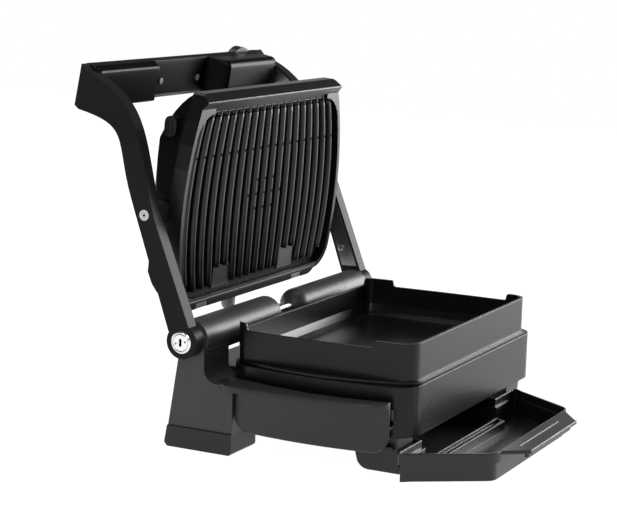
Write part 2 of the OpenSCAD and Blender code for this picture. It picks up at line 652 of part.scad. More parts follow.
module arm() {
  intersection() {
    at_hinge() union() {
      prism_x(arm_side(), handle_half - 30, arm_half + 5);
      rod_x(eye_r, handle_half - 30, arm_half + 5);
    }
    arm_layer(0, arm_t);
  }
}
module arm_bores() {
  at_hinge() rod_x(shaft_r + 0.02, arm_in - 10, arm_half + 5);
  at_hinge() rod_x(cap_r + fit_gap, arm_half - 2.2, arm_half + 5);
  translate([0, pivot_y, pivot_z]) rod_x(pivot_r + fit_gap, arm_in - 10, arm_half + 5);
}
module hollow_arm()
  difference() {
    arm();
    difference() {
      intersection() {
        at_hinge() prism_x(arm_pocket(arm_wall), handle_half - 40, arm_half + 5);
        arm_layer(arm_wall, arm_t + 1);
      }
      translate([0, pivot_y, pivot_z]) rod_x(pivot_r + 1.6, arm_in + arm_cover_t + fit_gap,
        arm_half + 5);
      for (p = arm_screw_places) translate([0, p[0], p[1]])
        rod_x(4, p[2] - arm_t + arm_cover_t + 0.9, arm_half + 5);
    }
    arm_bores();
    for (p = arm_screw_places) translate([0, p[0], p[1]])
      rod_x(1.6, handle_half - 40, p[2] - arm_t + 9);
  }
// Places of the cover screws: y, z and the arm's outer x there
arm_screw_places = [[hinge_y + 15.5, hinge_z + 36, arm_half],
  [hinge_y + 76, hinge_z + 203, handle_half + 2.7]];
module arm_cover()
  difference() {
    intersection() {
      at_hinge() prism_x(arm_pocket(arm_wall + 0.15), handle_half - 40, arm_half + 5);
      arm_layer(arm_t - arm_cover_t, arm_t);
    }
    translate([0, pivot_y, pivot_z]) rod_x(pivot_r + 0.4, arm_in - 12, arm_half + 5);
    for (p = arm_screw_places) translate([0, p[0], p[1]]) rod_x(1.7, handle_half - 40, arm_half);
  }
module right_arm() color("#2b2c2f") hollow_arm();
module left_arm() color("#2b2c2f") left_side() hollow_arm();
module right_arm_cover() color("#b4b6b8") arm_cover();
module left_arm_cover() color("#b4b6b8") left_side() arm_cover();
module arm_screws()
  color("#c4c6c8") both_sides() for (p = arm_screw_places) translate([0, p[0], p[1]]) {
    rod_x(3.4, p[2] - arm_t - 1.6, p[2] - arm_t - 0.3);
    rod_x(1.5, p[2] - arm_t - 0.4, p[2] - arm_t + 8);
  }
module hinge_caps()
  color("#d8dadc") both_sides() at_hinge() {
    rod_x(cap_r, arm_half - 2.2 + fit_gap, arm_half + 1);
    translate([arm_half + 1, 0, 0]) rotate([0, 90, 0]) cylinder(r1 = cap_r, r2 = cap_r - 1, h = 0.8);
  }
module pivot_pins()
  color("#c9cbcd") both_sides() translate([0, pivot_y, pivot_z])
    rod_x(pivot_r, plate_half - 12, arm_half - 0.6);

// Handle

handle_front = -11;
recess_front = -4;
box_front = -27;
// Section of the handle: y out of the control face, z down from its top edge
function handle_section(h) = [[handle_front, -6.7], [-5, -2.2], [0, 0.2], [3.2, -0.6],
  [5.2, -4], [5.2, 4 - h], [3.2, 0.8 - h], [0, -h], [handle_front + 2.2 + fit_gap, -h],
  [handle_front + 2.2 + fit_gap, 4 - h], [handle_front, 5 - h]];
function handle_hollow(h, w) = [[handle_front - 1, -7.4 - w], [-5, -2.4 - w], [0, -w],
  [5.2 - w - 1, -w - 1], [5.2 - w, -w - 3], [5.2 - w, w + 3 - h], [5.2 - w - 1, w + 1 - h],
  [0, w - h], [handle_front - 1, w - h]];
module between_arms(gap)
  prism_y(concat([for (p = arm_band(arm_t + gap)) p],
    back_to_front([for (p = arm_band(arm_t + gap)) [-p[0], p[1]]])), hinge_y, hinge_y + 200);
module drum_bore(r, y0, y1)
  on_handle() translate([drum_x, 0, -panel_h / 2]) rod_y(r, y0, y1);

module handle_shell()
  color("#232426") difference() {
    intersection() {
      on_handle() prism_x(handle_section(panel_h), -handle_half, handle_half);
      between_arms(fit_gap);
    }
    on_handle() prism_x(handle_hollow(panel_h, handle_wall), -handle_half, handle_half);
    on_handle() box([-recess_half, handle_front - 5, -panel_h - 1],
      [recess_half, recess_front, 2]);
    drum_bore(drum_r + fit_gap, -1, 20);
    on_handle() translate([power_x, 0, -panel_h / 2]) rod_y(power_r + 0.4, 0, 12);
  }
power_x = -126;
power_r = 7;
ok_r = 9;

module handle_underside()
  color("#2b2c2f") difference() {
    intersection() {
      on_handle() union() {
        // Left face, shallow finger recess and right box
        prism_x([[handle_front, -7.4 - handle_wall - 1.2], [handle_front + 2.2, -7.6 - handle_wall],
          [handle_front + 2.2, -fit_gap - panel_h], [1.6, -fit_gap - panel_h],
          [0.8, -1.5 - panel_h], [handle_front + 2, -1.5 - panel_h],
          [handle_front, 0.5 - panel_h]], -handle_half, -recess_half + fit_gap);
        box([-recess_half, handle_front, handle_wall + fit_gap - panel_h],
          [-recess_half + 1.8, recess_front + 2, -9.4 - handle_wall]);
        prism_x([[recess_front, -4.2 - handle_wall], [recess_front + 2.2, -3 - handle_wall],
          [recess_front + 2.2, handle_wall + fit_gap - panel_h],
          [recess_front, handle_wall + fit_gap - panel_h]], -recess_half, recess_half + 1);
        box([recess_half + fit_gap, box_front + 4, handle_wall + fit_gap - panel_h + 3],
          [recess_half + 2.2, recess_front + 2, -9.4 - handle_wall]);
        difference() {
          prism_x([[box_front, -6], [box_front + 3, -2.6], [handle_front - fit_gap, -2.2],
            [handle_front - fit_gap, 4 - panel_h], [box_front + 4, 4 - panel_h],
            [box_front, 8 - panel_h]], recess_half, handle_half);
          prism_x([[box_front + 2.4, -7], [box_front + 4.4, -5], [handle_front + 1, -4.8],
            [handle_front + 1, 6.6 - panel_h], [box_front + 5, 6.6 - panel_h],
            [box_front + 2.4, 9.4 - panel_h]], recess_half + 2.2, handle_half);
        }
      }
      between_arms(fit_gap);
    }
    for (x = [-34, 34]) on_handle() translate([x, 0, -panel_h / 2 - 3]) rod_y(1.7, -12, 2);
  }
module handle_screws()
  color("#c4c6c8") on_handle() for (x = [-34, 34]) translate([x, 0, -panel_h / 2 - 3]) {
    rod_y(3, recess_front - 1.4, recess_front - fit_gap);
    rod_y(1.5, recess_front - 1.4, recess_front + 3);
  }
module control_panel()
  color("#17181a") difference() {
    on_handle() box([-142, 5.2 + fit_gap, -panel_h + 6], [drum_x, 6.8, -6]);
    drum_bore(drum_r + fit_gap, -20, 20);
    on_handle() translate([power_x, 0, -panel_h / 2]) rod_y(power_r + 0.4, 0, 12);
    on_handle() for (k = [0:keys - 1]) translate([key_x(k), 0, -panel_h / 2])
      box([-10.4, 4, -6.4], [10.4, 8, 6.4]);
  }
keys = 6;
function key_x(k) = -92 + 32 * k;
module programme_keypad()
  color("#4a4c50") on_handle() for (k = [0:keys - 1])
    translate([key_x(k), 0, -panel_h / 2]) box([-10, 5.2 + fit_gap, -6], [10, 7.6, 6]);
module power_button()
  color("#c23a2c") on_handle() translate([power_x, 0, -panel_h / 2]) difference() {
    rod_y(power_r, 1.8, 8);
    rod_y(power_r - 1.6, 7.4, 9);
  }
module indicator_drum()
  color("#303236") difference() {
    drum_bore(drum_r, -1 + fit_gap, 7.2);
    drum_bore(drum_r - 3, 3, 12);
  }
module indicator_ring()
  color("#c8d4dc") difference() {
    drum_bore(drum_r - 3 - fit_gap, 3 + fit_gap, 8);
    drum_bore(ok_r + seat_gap, 0, 12);
  }
module ok_button()
  color("#5a5d61") difference() {
    drum_bore(ok_r, 4.9, 8.8);
    drum_bore(ok_r - 2, 8.2, 12);
  }
module circuit_board()
  color("#1f6b3a") on_handle() {
    box([-96, -0.6, -panel_h + 6], [90, 1, -6]);
    for (x = [-70:28:70]) box([x - 5, 1, -panel_h / 2 - 5], [x + 5, 2.4, -panel_h / 2 + 5]);
  }

// Floating grill plate and its housing, in the plate's frame

valley = ridge_h;
plate_back = ridge_h + plate_t;
skirt = ridge_h + plate_t + 3;
rim_w = 5;
function plate_bow(v) = (v + 5.4) * (v + 5.4) / (2 * plate_bow_r);
ridge_v0 = -75;
ridge_v1 = 93;
pad_v = -58.6;
// Section of a ridge: flat foot, leaning sides, round back
function ridge_section() = concat([[-ridge_w / 2, valley + 0.5], [-ridge_w / 2, valley]],
  [for (a = [0:30:180]) [-1.7 * cos(a), 1.7 - 1.7 * sin(a)]],
  [[ridge_w / 2, valley], [ridge_w / 2, valley + 0.5]]);
// The middle ridge is straight
module middle_ridge(v0, v1)
  translate([0, 0, v0]) linear_extrude(height = v1 - v0) polygon(ridge_section());
// Ridge number i is a stretch of a ring whose radius gives it its share of the bow
module ridge(i, v0, v1) {
  r = plate_bow_r * ridge_pairs / i;
  a0 = asin((v0 + 5.4) / r);
  a1 = asin((v1 + 5.4) / r);
  translate([i * ridge_pitch - r, 0, -5.4]) rotate([90, 0, 0]) rotate([0, 0, a0])
    rotate_extrude(angle = a1 - a0, $fn = 180)
      translate([r, 0]) polygon([for (p = ridge_section()) [p[0], -p[1]]]);
}
function pad_ridge(i) = i == 4 || i == 5;

// Front lip of the plate: the ridges run up into its inner slope
function lip_side() = [[valley + 1, 87], [0.8, 89], [0.8, 89.6],
  [-lip_h + 0.6, plate_front - 8.2], [-lip_h, plate_front - 7.3],
  [-lip_h + 0.6, plate_front - 6.3], [1.5, plate_front], [valley + 1, plate_front]];

module upper_plate() {
  color("#2e2f31") on_plate() {
    difference() {
      slab(plate_outline(0, plate_rear), -rim_h, skirt);
      // Pan that the ridges stand in, less the flat pads for the locking tongues
      difference() {
        slab(bowed(plate_half - rim_w, plate_bow_r, -5.4, rim_w - plate_rear, 88.5, 17, 20),
          -rim_h - 1, valley);
        both_sides() box([3.15 * ridge_pitch, valley - 1.6, -78],
          [5.1 * ridge_pitch, valley + 1, pad_v + 1.5]);
      }
      box([-plate_half, -rim_h - 1, plate_front - 14], [plate_half, valley - 1, plate_front + 1]);
      box([-plate_half + 44, -rim_h - 1, 88.4], [plate_half - 44, valley - 1, plate_front + 1]);
      // Hollow back
      slab(plate_outline(-3, plate_rear), plate_back, skirt + 1);
      // Groove in the rim's crown
      difference() {
        slab(plate_outline(-1.9, plate_rear), -rim_h - 1, -rim_h + 1.2);
        slab(plate_outline(-3.3, plate_rear), -rim_h - 2, -rim_h + 2);
        box([-plate_half, -20, -68], [plate_half, 20, plate_front + 1]);
      }
    }
    intersection() {
      prism_x(lip_side(), -plate_half, plate_half);
      slab(plate_outline(0, plate_rear), -lip_h - 1, skirt);
    }
    middle_ridge(ridge_v0, ridge_v1);
    both_sides() for (i = [1:ridge_pairs])
      ridge(i, pad_ridge(i) ? pad_v : i == ridge_pairs ? ridge_v0 + 8 : ridge_v0, ridge_v1);
  }
}

// Back of the housing, from its front edge over the crown to its rear edge
function housing_side(inset) = concat([[skirt + seat_gap + (inset > 0 ? -5 : 0), plate_front - 1.5 - inset]],
  curve([skirt + seat_gap, plate_front - 1.5 - inset], [housing_depth * 0.64, plate_front - 10 - inset],
    [housing_depth - 1 - inset, 70 - inset], [housing_depth - inset, 10], 8),
  curve([housing_depth - inset, 10], [housing_depth - inset, -46],
    [housing_depth * 0.8 - inset, -78 + inset], [skirt + seat_gap, -plate_rear - 7 + inset], 8),
  [[skirt + seat_gap + (inset > 0 ? -5 : 0), -plate_rear - 7 + inset]]);
function housing_across(inset) = let(h = plate_half - 5.5 - inset, d = housing_depth - inset)
  concat([[-h, skirt - 6]], curve([-h, d - 17], [-h, d - 9], [-h + 8, d - 4.6], [-h + 22, d - 3.4], 6),
    [[-h + 50, d - 1.4], [-h + 90, d - 0.4], [h - 90, d - 0.4], [h - 50, d - 1.4]],
    curve([h - 22, d - 3.4], [h - 8, d - 4.6], [h, d - 9], [h, d - 17], 6), [[h, skirt - 6]]);
module housing_solid(inset)
  intersection() {
    prism_x(housing_side(inset), -plate_half, plate_half);
    prism_z([for (p = housing_across(inset)) p], -plate_rear - 20, plate_front + 20);
    slab(bowed(plate_half - 5.5 - inset, plate_bow_r, -5.4, -plate_rear - 8 + inset,
      plate_front - 1.5 - inset, 24 - inset, 4), 0, housing_depth + 5);
  }
upper_release_v = 75.5;
sleeve_x = -24.5;
sleeve_y = 14;
sleeve_r = 6.6;
module upper_housing() {
  color("#1d1e20") on_plate() difference() {
    union() {
      housing_solid(0);
      // Flange behind the plate's rear rim
      difference() {
        slab(bowed(plate_half - 4.5, plate_bow_r, -5.4, -plate_rear - 8, 0, 17, 4), 3.5, skirt + 1);
        slab(plate_outline(seat_gap + 0.1, plate_rear), 0, skirt + seat_gap);
        box([-plate_half, 0, -60], [plate_half, 30, 10]);
      }
    }
    housing_solid(housing_wall);
    both_sides() translate([0, pivot_back, 0]) rod_x(9.5 + fit_gap, plate_half - 24, plate_half + 5);
    // Opening for the button that frees the grill plate
    button_slot(-plate_half, -plate_half + 40, seat_gap);
    for (x = [-94, 94]) box([x - 10.4, 0, -plate_rear - 20], [x + 10.4, 9, -plate_rear - 0.2]);
    translate([sleeve_x, sleeve_y, -plate_rear - 20]) cylinder(r = sleeve_r + fit_gap, h = 19.6);
  }
}
// Oblong outline with round ends, shared by the button and its opening
module button_slot(x0, x1, grow) {
  box([x0, 18 - grow, upper_release_v - 3.5], [x1, 30 + grow, upper_release_v + 3.5]);
  for (v = [-3.5, 3.5]) translate([0, 24, upper_release_v + v]) rod_x(6 + grow, x0, x1);
}
module upper_release_button()
  color("#3a3b3d") on_plate() difference() {
    union() {
      button_slot(-plate_half + 11, -plate_half + 30, 0);
      box([-plate_half + 26, 20, upper_release_v - 7], [-plate_half + 33, 28, upper_release_v + 7]);
    }
    translate([-plate_half + 11, 24, upper_release_v - 12]) cylinder(r = 2, h = 24);
  }
module plate_clips()
  color("#a8aaac") on_plate() for (x = [-94, 94])
    box([x - 10, 4, -plate_rear - 8], [x + 10, 8.8, -plate_rear - 0.4]);
// Upper heater tube lies just behind the plate, the reflector just behind the tube
upper_tube_y = plate_back + 0.4 + tube_r;
upper_reflector_y = upper_tube_y + tube_r + seat_gap;
module upper_reflector()
  color("#b9bbbd") on_plate() difference() {
    slab(plate_outline(-5.5 - housing_wall - seat_gap, plate_rear + 4), upper_reflector_y,
      upper_reflector_y + 1.2);
    both_sides() translate([0, pivot_back, 0]) rod_x(10.5, plate_half - 30, plate_half);
    box([-plate_half, 10, upper_release_v - 13], [-plate_half + 36, 40, upper_release_v + 13]);
  }
module upper_heater()
  color("#6f6a66") on_plate() translate([0, upper_tube_y, -10]) rotate([90, 0, 0])
    heater_tube(tube_r, 84, 56, 0);
module upper_thermostat()
  color("#8a8d90") on_plate() translate([0, plate_back + 0.4, 10]) rotate([-90, 0, 0]) {
    cylinder(r = 4, h = 6);
    cylinder(r = 9, h = upper_reflector_y - plate_back - 0.4 - fit_gap);
  }
module pivot_bushes()
  color("#8f9194") on_plate() both_sides() translate([0, pivot_back, 0]) difference() {
    rod_x(9.5, plate_half - 16, arm_in - 0.6);
    rod_x(pivot_r + shaft_play, 0, arm_half);
  }
module cable_sleeve()
  color("#a0a2a4") on_plate() translate([sleeve_x, sleeve_y, -plate_rear - 17]) {
    cylinder(r = sleeve_r, h = 16.5);
    sphere(r = sleeve_r);
  }

base_housing();
bottom_cover();
left_tower();
right_tower();
left_tower_block();
right_tower_block();
left_front_foot();
right_front_foot();
rubber_feet();
left_side_handle();
right_side_handle();
left_hinge_barrel();
right_hinge_barrel();
right_barrel_sleeve();
cord_gland();
lower_reflector();
lower_heater();
lower_thermostat();
terminal_block();
base_screws();
lower_release_button();
baking_tray();
drip_tray();
hinge_shaft();
hinge_caps();
left_arm();
right_arm();
left_arm_cover();
right_arm_cover();
arm_screws();
pivot_pins();
handle_shell();
handle_underside();
handle_screws();
control_panel();
programme_keypad();
power_button();
ok_button();
indicator_drum();
indicator_ring();
circuit_board();
upper_housing();
upper_reflector();
upper_heater();
upper_thermostat();
upper_plate();
plate_clips();
pivot_bushes();
upper_release_button();
cable_sleeve();
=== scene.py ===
import bmesh
import bpy
import math
import numpy as np
from mathutils import Matrix, Vector


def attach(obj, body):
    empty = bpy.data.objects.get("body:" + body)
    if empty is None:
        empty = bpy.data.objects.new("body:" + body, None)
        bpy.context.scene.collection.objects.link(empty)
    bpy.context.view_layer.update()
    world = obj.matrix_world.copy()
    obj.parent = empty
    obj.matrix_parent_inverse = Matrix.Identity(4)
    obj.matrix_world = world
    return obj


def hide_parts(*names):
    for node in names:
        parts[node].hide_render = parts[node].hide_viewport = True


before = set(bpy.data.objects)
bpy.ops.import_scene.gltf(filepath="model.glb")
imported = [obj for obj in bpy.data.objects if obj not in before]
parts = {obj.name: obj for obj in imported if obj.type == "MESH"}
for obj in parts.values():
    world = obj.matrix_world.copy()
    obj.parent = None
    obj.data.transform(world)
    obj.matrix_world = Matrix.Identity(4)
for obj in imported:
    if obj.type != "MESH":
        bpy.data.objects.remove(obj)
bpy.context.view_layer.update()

# The camera stands to the front left of the grill and looks a little down, at
# the photograph's viewing angle. It was fitted to the grill's straight edges.
# A long lens keeps the arms almost parallel.
eye = Vector((-1.53357, -0.72843, 0.44798))
aim = Vector((-0.22263, -0.06254, 0.19065))
roll = math.radians(1.573)
focal_mm = 107.27
sight = (aim - eye).normalized()
level = sight.cross(Vector((0, 0, 1))).normalized()
steep = level.cross(sight)
lens_right = math.cos(roll) * level + math.sin(roll) * steep
lens_up = math.cos(roll) * steep - math.sin(roll) * level
lens = bpy.data.cameras.new("camera")
lens.sensor_fit = "HORIZONTAL"
lens.sensor_width = 36
lens.lens = focal_mm
camera = bpy.data.objects.new("camera", lens)
lens_turn = Matrix((lens_right, lens_up, -sight)).transposed().to_4x4()
camera.matrix_world = Matrix.Translation(eye) @ lens_turn
bpy.context.scene.collection.objects.link(camera)
bpy.context.scene.camera = camera
bpy.context.scene.view_settings.view_transform = "Standard"


# The studio is white: a large key softbox at the front right, weaker ones at the
# left and overhead, and one behind that draws the edges. Walls are white wherever
# the camera, a mirror or glass sees them, and only the ceiling is grey.
def linear(code):
    """sRGB hex to linear RGBA: ((c + 0.055) / 1.055) ^ 2.4 above 0.04045."""
    c = np.array([int(code[k : k + 2], 16) for k in (1, 3, 5)]) / 255
    c = np.where(c <= 0.04045, c / 12.92, ((c + 0.055) / 1.055) ** 2.4)
    return (*c.tolist(), 1.0)


def add(tree, kind, links=None, **settings):
    """Adds one node; links gives each input a value or another node's socket."""
    made = tree.nodes.new(kind)
    for name, value in settings.items():
        setattr(made, name, value)
    for name, value in (links or {}).items():
        socket = made.inputs[name]
        if isinstance(value, bpy.types.NodeSocket):
            tree.links.new(value, socket)
        else:
            socket.default_value = value
    return made


def looked_at(tree):
    """1 where the camera, a mirror or glass looks, and 0 for all other light."""
    ray = add(tree, "ShaderNodeLightPath")
    through = add(
        tree,
        "ShaderNodeMath",
        {0: ray.outputs["Is Glossy Ray"], 1: ray.outputs["Is Transmission Ray"]},
        operation="MAXIMUM",
    )
    either = add(
        tree,
        "ShaderNodeMath",
        {0: ray.outputs["Is Camera Ray"], 1: through.outputs[0]},
        operation="MAXIMUM",
    )
    return either.outputs[0]


def softbox(name, place, target, wide, high, watts):
    """A rectangular area lamp at place that faces target, in metres."""
    lamp = bpy.data.lights.new(name, "AREA")
    lamp.shape = "RECTANGLE"
    lamp.size = wide
    lamp.size_y = high
    lamp.energy = watts
    made = bpy.data.objects.new(name, lamp)
    aimed = (Vector(target) - Vector(place)).to_track_quat("-Z", "Y")
    made.matrix_world = Matrix.Translation(place) @ aimed.to_matrix().to_4x4()
    bpy.context.scene.collection.objects.link(made)


softbox("key_softbox", (2.0, -1.2, 0.55), (0, 0, 0.12), wide=1.7, high=1.1, watts=68)
softbox("left_softbox", (-2.0, -0.6, 1.2), (0, 0, 0.1), wide=1.0, high=1.0, watts=12)
softbox("top_softbox", (0.2, 0.3, 2.2), (0, 0, 0.1), wide=1.2, high=1.2, watts=18)
softbox("back_softbox", (0.9, 2.1, 1.1), (0, 0.1, 0.2), wide=1.4, high=1.2, watts=34)

wall_light = 0.22
ceiling_stops = ((0.08, "#ffffff"), (0.34, "#484848"))
studio = bpy.data.worlds.new("studio")
studio.use_nodes = True
walls = studio.node_tree
walls.nodes.clear()
ambient = add(
    walls, "ShaderNodeBackground", {"Color": linear("#ffffff"), "Strength": wall_light}
)
towards = add(walls, "ShaderNodeTexCoord")
rise = add(walls, "ShaderNodeSeparateXYZ", {"Vector": towards.outputs["Generated"]})
ceiling = add(walls, "ShaderNodeValToRGB", {"Fac": rise.outputs["Z"]})
for stop, (start, code) in zip(ceiling.color_ramp.elements, ceiling_stops):
    stop.position = start
    stop.color = linear(code)
white = add(
    walls, "ShaderNodeBackground", {"Color": ceiling.outputs["Color"], "Strength": 1.0}
)
walls_seen = add(
    walls,
    "ShaderNodeMixShader",
    {0: looked_at(walls), 1: ambient.outputs[0], 2: white.outputs[0]},
)
add(walls, "ShaderNodeOutputWorld", {"Surface": walls_seen.outputs[0]})
bpy.context.scene.world = studio


# The grill stands on matt white studio paper, which keeps its soft shadow. Where
# the paper is looked at it is mostly glow, so that it shows as plain white.
def blank(name):
    """A new material and its node tree, emptied."""
    made = bpy.data.materials.new(name)
    made.use_nodes = True
    made.node_tree.nodes.clear()
    return made, made.node_tree


paper_half = 3.0
paper_glow = 1.13
shadow_share = 0.12
paper, sheet = blank("white_studio_paper")
matt = add(sheet, "ShaderNodeBsdfDiffuse", {"Color": linear("#f4f4f4")})
glow = add(
    sheet, "ShaderNodeEmission", {"Color": linear("#ffffff"), "Strength": paper_glow}
)
lit = add(
    sheet,
    "ShaderNodeMixShader",
    {0: shadow_share, 1: glow.outputs[0], 2: matt.outputs[0]},
)
paper_seen = add(
    sheet,
    "ShaderNodeMixShader",
    {0: looked_at(sheet), 1: matt.outputs[0], 2: lit.outputs[0]},
)
add(sheet, "ShaderNodeOutputMaterial", {"Surface": paper_seen.outputs[0]})
sweep = bpy.data.meshes.new("paper_sweep")
sweep.from_pydata(
    [
        (right * paper_half, back * paper_half, 0)
        for right, back in ((-1, -1), (1, -1), (1, 1), (-1, 1))
    ],
    [],
    [(0, 1, 2, 3)],
)
sweep.materials.append(paper)
paper_sweep = bpy.data.objects.new("paper_sweep", sweep)
bpy.context.scene.collection.objects.link(paper_sweep)


# The base housing is one injection moulding in black ABS, from a tool that was
# spark-eroded, so every outer wall has a fine even grain and a soft sheen. Its
# bottom cover, towers and feet are separate mouldings, screwed on.
def surface(tree, pattern, wear, edge_mm, strength, depth_mm, body):
    """Roughness and bump from one pattern, over edges broken by edge_mm.

    Roughness runs evenly through the two values of wear while the pattern goes
    from 0.3 to 0.7, where nearly all of a noise lies. body has the other inputs.
    """
    rough = add(
        tree,
        "ShaderNodeMapRange",
        {
            "Value": pattern,
            "From Min": 0.3,
            "From Max": 0.7,
            "To Min": wear[0],
            "To Max": wear[1],
        },
    )
    edges = add(tree, "ShaderNodeBevel", {"Radius": edge_mm / 1000}, samples=4)
    relief = add(
        tree,
        "ShaderNodeBump",
        {
            "Height": pattern,
            "Strength": strength,
            "Distance": depth_mm / 1000,
            "Normal": edges.outputs["Normal"],
        },
    )
    shader = add(
        tree,
        "ShaderNodeBsdfPrincipled",
        {
            **body,
            "Roughness": rough.outputs["Result"],
            "Normal": relief.outputs["Normal"],
        },
    )
    add(tree, "ShaderNodeOutputMaterial", {"Surface": shader.outputs[0]})


def moulded(name, code, rough, grain_mm, depth_mm=0.02, edge_mm=0.5, gloss=0.3):
    """Moulded plastic or stoved paint: fractal noise, one grain wide, as relief.

    The colour drifts by a tenth to either side over some 60 mm, as pigment does.
    """
    drift_mm = 60
    made, tree = blank(name)
    place = add(tree, "ShaderNodeTexCoord")
    grain = add(
        tree,
        "ShaderNodeTexNoise",
        {"Vector": place.outputs["Object"], "Scale": 1000 / grain_mm, "Detail": 2.0},
    )
    drift = add(
        tree,
        "ShaderNodeTexNoise",
        {"Vector": place.outputs["Object"], "Scale": 1000 / drift_mm, "Detail": 3.0},
    )
    base = np.array(linear(code))[:3]
    tint = add(tree, "ShaderNodeValToRGB", {"Fac": drift.outputs["Fac"]})
    for stop, start, shade in zip(tint.color_ramp.elements, (0.35, 0.65), (0.9, 1.1)):
        stop.position = start
        stop.color = (*(base * shade), 1)
    surface(
        tree,
        grain.outputs["Fac"],
        wear=(rough - 0.05, rough + 0.05),
        edge_mm=edge_mm,
        strength=0.25,
        depth_mm=depth_mm,
        body={
            "Base Color": tint.outputs["Color"],
            "IOR": 1.5,
            "Specular IOR Level": gloss,
        },
    )
    return made


def dress(material, *names):
    """Puts one material on every slot of the named CAD pieces."""
    for name in names:
        slots = parts[name].data.materials
        if not slots:
            slots.append(material)
        for k in range(len(slots)):
            slots[k] = material


# Spark-eroded grain is some 0.2 mm wide. It is drawn 0.9 mm wide, because a finer
# one doesn't show, and it breaks highlights into a soft even glow.
tool_grain = dict(grain_mm=0.9, depth_mm=0.012)
deep_grain = dict(grain_mm=0.9, depth_mm=0.015)
black_abs = moulded(
    "spark_grained_black_abs", "#0d0d0e", 0.3, edge_mm=1.0, gloss=0.27, **tool_grain
)
dress(black_abs, "base_housing")
# The cover below is etched matt and hardly catches light.
deep_abs = moulded("matt_black_abs", "#060606", 0.4, 1.0, gloss=0.15)
dress(deep_abs, "bottom_cover")
# Towers and feet have a deeper grain: greyer, with a broad satin sheen.
tower_abs = moulded(
    "satin_grey_black_abs", "#2e2f30", 0.42, edge_mm=0.8, gloss=0.55, **deep_grain
)
dress(tower_abs, "left_tower", "right_tower")
foot_abs = moulded(
    "foot_black_abs", "#1b1b1c", 0.42, edge_mm=0.8, gloss=0.4, **deep_grain
)
dress(foot_abs, "left_front_foot", "right_front_foot")
dress(foot_abs, "left_tower_block", "right_tower_block")
# Rubber is dull all over, with no highlight.
soft_rubber = moulded("black_rubber", "#111111", 0.75, 1.5)
dress(soft_rubber, "rubber_feet", "cord_gland")


# Each side handle is one ABS moulding with the deeper grain: a flat lip with a
# long rounded front corner, a skirt below it, and a floor that ties the skirt to
# the body, so that a deep channel stays open between them.
def skin(name, points, finishes, body, ring=False, closed=False, recess=None):
    """A piece from sheets of points: a quad joins every four neighbours.

    points is sheets x rows x columns x 3 in metres. ring joins a row's last
    column to its first; recess marks the quads that take the second finish.
    Points that meet are merged, which closes the poles.
    """
    points = np.asarray(points, float)
    index = np.arange(points[..., 0].size).reshape(points.shape[:3])
    if ring:
        index = np.concatenate([index, index[:, :, :1]], axis=2)
    quads = np.stack(
        [index[:, :-1, :-1], index[:, :-1, 1:], index[:, 1:, 1:], index[:, 1:, :-1]],
        axis=-1,
    ).reshape(-1, 4)
    mesh = bpy.data.meshes.new(name)
    mesh.from_pydata(points.reshape(-1, 3).tolist(), [], quads.tolist())
    for finish in finishes:
        mesh.materials.append(finish)
    mesh.polygons.foreach_set("use_smooth", np.ones(len(quads), bool))
    if recess is not None:
        marks = recess.reshape(-1).astype(np.int32)
        mesh.polygons.foreach_set("material_index", marks)
    shell = bmesh.new()
    shell.from_mesh(mesh)
    bmesh.ops.remove_doubles(shell, verts=shell.verts, dist=2e-6)
    if closed:
        bmesh.ops.recalc_face_normals(shell, faces=shell.faces)
    shell.to_mesh(mesh)
    shell.free()
    mesh.set_sharp_from_angle(angle=math.radians(40))
    piece = bpy.data.objects.new(name, mesh)
    bpy.context.scene.collection.objects.link(piece)
    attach(piece, body)
    return piece


# The grips' grain is even and catches a little more light than the body's. Their
# base is lighter than the body's too: painted light for the sheen off the pale walls.
lit_grip_abs = moulded(
    "grained_grip_abs", "#202122", 0.42, edge_mm=1.2, gloss=0.46, **deep_grain
)
dress(lit_grip_abs, "left_side_handle", "right_side_handle")


